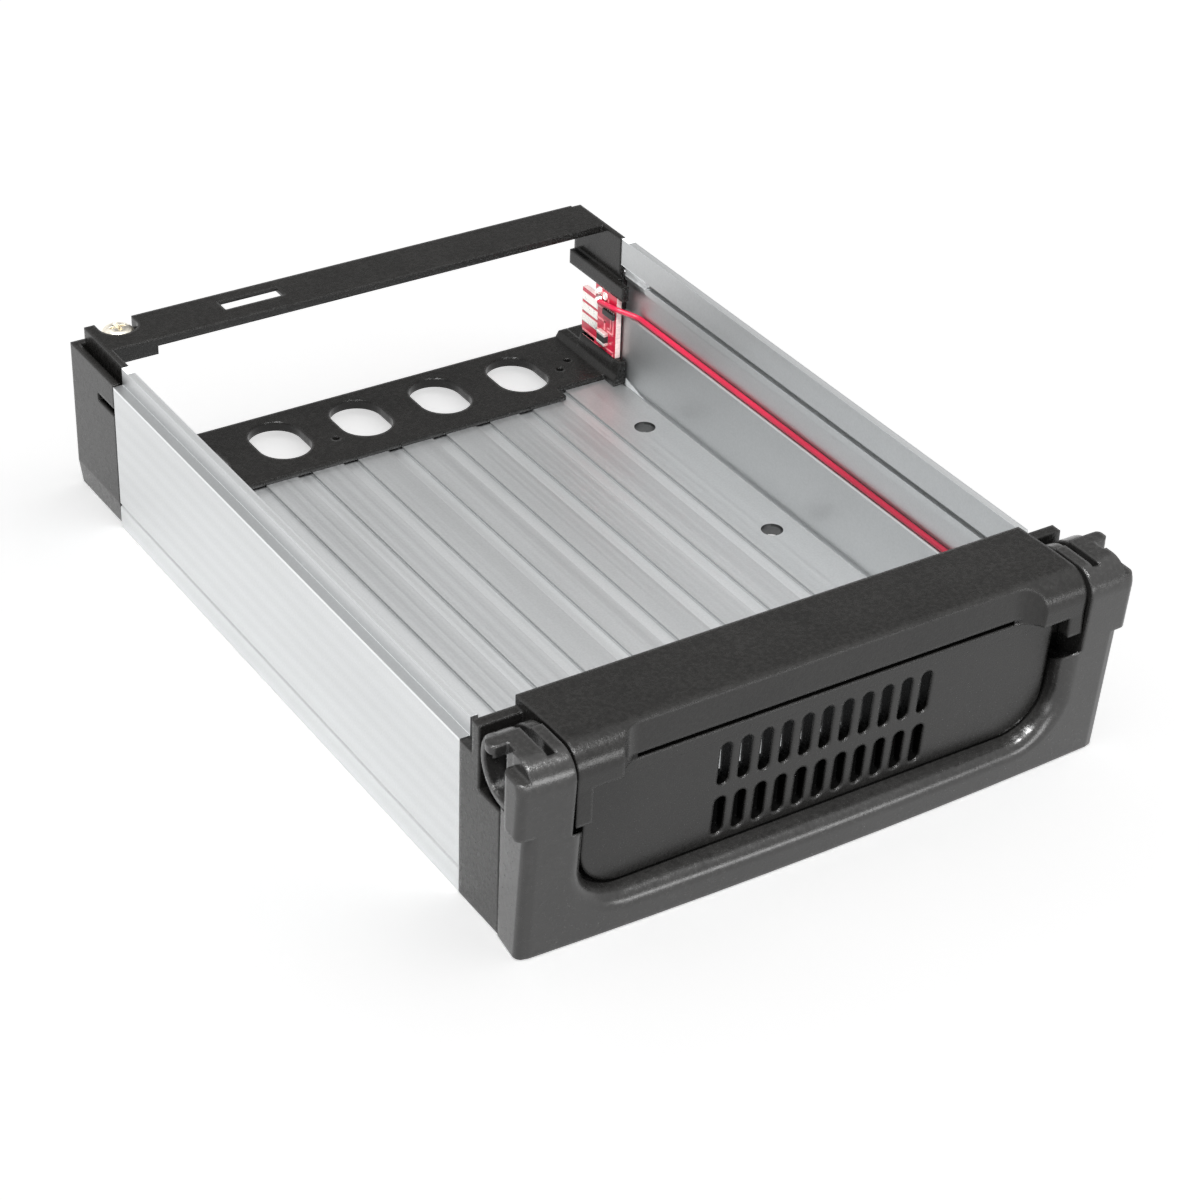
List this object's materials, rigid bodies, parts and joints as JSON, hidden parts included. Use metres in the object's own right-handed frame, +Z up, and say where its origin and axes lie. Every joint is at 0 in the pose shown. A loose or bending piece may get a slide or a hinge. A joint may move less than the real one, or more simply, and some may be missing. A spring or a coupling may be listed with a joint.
{
  "type": "drive bay adapter",
  "caption": "Removable drive tray: aluminium U-channel with a vented front bezel, a swinging pull handle, a rear frame with a small contact board and a cable along one wall.",
  "frame": {"origin": "middle of the tray's outline on the plane of its underside", "axes": "+Y from the front handle to the rear, +Z up, +X to the right seen from the front"},
  "size_m": [0.1206, 0.169, 0.0387],
  "materials": {
    "extruded_aluminium": "extruded, satin",
    "black_moulding": "fine spark texture",
    "handle_moulding": "semi-gloss",
    "red_laminate": "solder resist",
    "tinned_copper": "tinned",
    "component_black": "moulded",
    "solder": "solder",
    "red_cable": "smooth sheath",
    "plated_steel": "plated",
    "pin_steel": "ground",
    "lamp_resin": "clear resin, tinted",
    "sleeve_black": "shrink sleeve"
  },
  "bodies": {
    "tray": {"tray_extrusion": "extruded_aluminium", "rear_frame": "black_moulding", "front_bezel": "black_moulding", "contact_board": "red_laminate", "contact_strip_lower": "tinned_copper", "contact_strip_middle": "tinned_copper", "contact_strip_upper": "tinned_copper", "board_pad": "tinned_copper", "board_chip": "component_black", "board_block": "component_black", "solder_joints": "solder", "led_cable": "red_cable", "frame_screw": "plated_steel", "hinge_pin_left": "pin_steel", "hinge_pin_right": "pin_steel", "indicator_led": "lamp_resin", "led_leads": "tinned_copper", "led_sleeve": "sleeve_black"},
    "handle": {"handle": "handle_moulding"}
  },
  "joints": [
    {"name": "handle_hinge", "type": "hinge", "parent": "tray", "child": "handle", "pos_m": [0, -0.07465, 0.032], "axis": [-1, 0, 0], "range_deg": [0, 90]}
  ]
}
